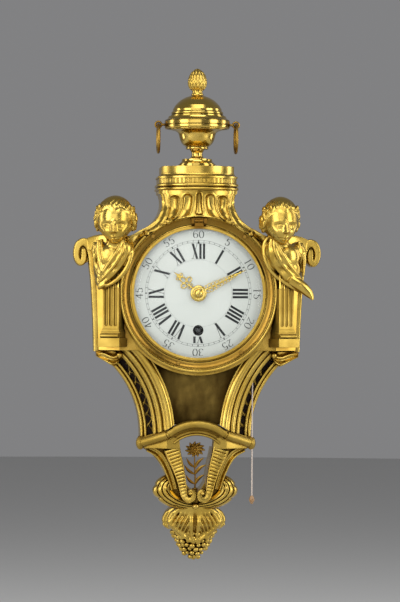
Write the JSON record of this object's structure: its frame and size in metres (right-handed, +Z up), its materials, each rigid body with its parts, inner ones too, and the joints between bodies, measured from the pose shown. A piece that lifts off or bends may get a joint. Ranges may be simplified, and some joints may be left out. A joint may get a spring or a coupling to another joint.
{
  "type": "cartel clock",
  "caption": "Gilt bronze wall clock with urn, busts on pilasters, enamel dial behind a hinged glass, working train and a pull repeat cord.",
  "frame": {"origin": "centre of the hanging hole at the wall face", "axes": "+X to the viewer's right, +Y into the wall, +Z up"},
  "size_m": [0.2072, 0.0872, 0.4002],
  "materials": {
    "gilt_bronze": "chased and burnished gilding",
    "dull_brass": "dull and toned",
    "movement_brass": "brushed",
    "steel": "polished",
    "enamel": "glossy",
    "glass": "clear",
    "cord": "twisted",
    "bead": "polished"
  },
  "bodies": {
    "case": {"case_body": "gilt_bronze", "legs": "gilt_bronze", "side_frets": "gilt_bronze", "frieze": "gilt_bronze", "plinth": "gilt_bronze", "hanging_plate": "steel", "urn_foot": "gilt_bronze", "urn_bowl": "gilt_bronze", "urn_lid": "gilt_bronze", "pinecone": "gilt_bronze", "urn_tie_rod": "steel", "ring_eyes": "gilt_bronze", "pilasters": "gilt_bronze", "bust_left": "gilt_bronze", "bust_right": "gilt_bronze", "side_scrolls": "gilt_bronze", "arch_cornice": "gilt_bronze", "lower_case": "gilt_bronze", "consoles": "gilt_bronze", "flower_sprig": "gilt_bronze", "acanthus_leaves": "gilt_bronze", "pendant": "gilt_bronze", "boss_bead": "gilt_bronze", "throat_panel": "dull_brass", "back_cover": "dull_brass", "cover_screws": "steel", "ring_screws": "gilt_bronze", "hinge_pin": "steel", "dial": "enamel", "dial_plate": "movement_brass", "front_plate": "movement_brass", "back_plate": "movement_brass", "pillars": "movement_brass", "pendulum_cock": "movement_brass", "bell": "movement_brass", "bell_stand": "movement_brass"},
    "left_ring": {"ring_left": "gilt_bronze"},
    "right_ring": {"ring_right": "gilt_bronze"},
    "door": {"bezel": "gilt_bronze", "glass": "glass"},
    "minute_arbor": {"minute_hand": "gilt_bronze", "hand_nut": "movement_brass", "centre_wheel": "movement_brass", "cannon_pinion": "movement_brass"},
    "hour_pipe": {"hour_hand": "gilt_bronze", "hour_wheel": "movement_brass"},
    "motion_work": {"minute_wheel": "movement_brass"},
    "going_barrel": {"barrel": "movement_brass", "mainspring": "steel"},
    "winding": {"winding_arbor": "steel"},
    "ratchet_click": {"click": "steel"},
    "intermediate": {"intermediate_wheel": "movement_brass"},
    "third": {"third_wheel": "movement_brass"},
    "escape": {"escape_wheel": "movement_brass"},
    "pallets": {"anchor": "steel"},
    "pendulum_body": {"pendulum": "movement_brass"},
    "hammer_body": {"hammer": "steel"},
    "pulley_body": {"repeat_pulley": "movement_brass"},
    "pull": {"repeat_cord": "cord", "cord_bead": "bead"}
  },
  "joints": [
    {"name": "minute_turn", "type": "hinge", "parent": "case", "child": "minute_arbor", "pos_m": [0, -0.04, -0.075], "axis": [0, 1, 0], "continuous": true},
    {"name": "hour_turn", "type": "hinge", "parent": "case", "child": "hour_pipe", "pos_m": [0, -0.05, -0.075], "axis": [0, 1, 0], "continuous": true},
    {"name": "motion_turn", "type": "hinge", "parent": "case", "child": "motion_work", "pos_m": [0.00919, -0.044, -0.06729], "axis": [0, 1, 0], "continuous": true},
    {"name": "intermediate_turn", "type": "hinge", "parent": "case", "child": "intermediate", "pos_m": [0.01257, -0.03, -0.08788], "axis": [0, 1, 0], "continuous": true},
    {"name": "barrel_turn", "type": "hinge", "parent": "case", "child": "going_barrel", "pos_m": [0, -0.026, -0.1047], "axis": [0, 1, 0], "continuous": true},
    {"name": "third_turn", "type": "hinge", "parent": "case", "child": "third", "pos_m": [-0.01213, -0.03, -0.06287], "axis": [0, 1, 0], "continuous": true},
    {"name": "escape_turn", "type": "hinge", "parent": "case", "child": "escape", "pos_m": [0, -0.024, -0.05268], "axis": [0, 1, 0], "continuous": true},
    {"name": "winding_turn", "type": "hinge", "parent": "case", "child": "winding", "pos_m": [0, -0.04, -0.1047], "axis": [0, 1, 0], "continuous": true},
    {"name": "click_lift", "type": "hinge", "parent": "case", "child": "ratchet_click", "pos_m": [0.0115, -0.041, -0.0987], "axis": [0, -1, 0], "range_deg": [0, 8], "stiffness_Nm_per_rad": 0.02},
    {"name": "pendulum_swing", "type": "hinge", "parent": "case", "child": "pendulum_body", "pos_m": [0, -0.0105, -0.03968], "axis": [0, 1, 0], "range_deg": [-4, 4]},
    {"name": "pallet_rock", "type": "hinge", "parent": "case", "child": "pallets", "pos_m": [0, -0.024, -0.03968], "axis": [0, 1, 0], "range_deg": [-4, 4]},
    {"name": "right_ring_swing", "type": "hinge", "parent": "case", "child": "right_ring", "pos_m": [0.0315, -0.03, 0.06165], "axis": [0, -1, 0], "range_deg": [-25, 80]},
    {"name": "left_ring_swing", "type": "hinge", "parent": "case", "child": "left_ring", "pos_m": [-0.0315, -0.03, 0.06165], "axis": [0, 1, 0], "range_deg": [-25, 80]},
    {"name": "door_open", "type": "hinge", "parent": "case", "child": "door", "pos_m": [0, -0.0595, -0.017], "axis": [-1, 0, 0], "range_deg": [0, 95]},
    {"name": "hammer_draw", "type": "hinge", "parent": "case", "child": "hammer_body", "pos_m": [0.024, -0.029, -0.113], "axis": [0, -1, 0], "range_deg": [0, 12], "stiffness_Nm_per_rad": 0.05},
    {"name": "cord_pull", "type": "slide", "parent": "case", "child": "pull", "axis": [0, 0, -1], "range_m": [0, 0.02], "stiffness_N_per_m": 60, "deforming": ["repeat_cord"]},
    {"name": "pulley_turn", "type": "hinge", "parent": "case", "child": "pulley_body", "pos_m": [0.0363, -0.0345, -0.103], "axis": [0, 1, 0], "range_deg": [0, 123.22]}
  ],
  "couplings": [
    {"joint": "hour_turn", "follows": "minute_turn", "ratio": 0.083333},
    {"joint": "motion_turn", "follows": "minute_turn", "ratio": -0.33333},
    {"joint": "intermediate_turn", "follows": "minute_turn", "ratio": -0.14286},
    {"joint": "barrel_turn", "follows": "minute_turn", "ratio": 0.02381},
    {"joint": "third_turn", "follows": "minute_turn", "ratio": -12},
    {"joint": "escape_turn", "follows": "minute_turn", "ratio": 132},
    {"joint": "pallet_rock", "follows": "pendulum_swing", "ratio": 1},
    {"joint": "pulley_turn", "follows": "cord_pull", "rad_per_m": 107.53}
  ]
}
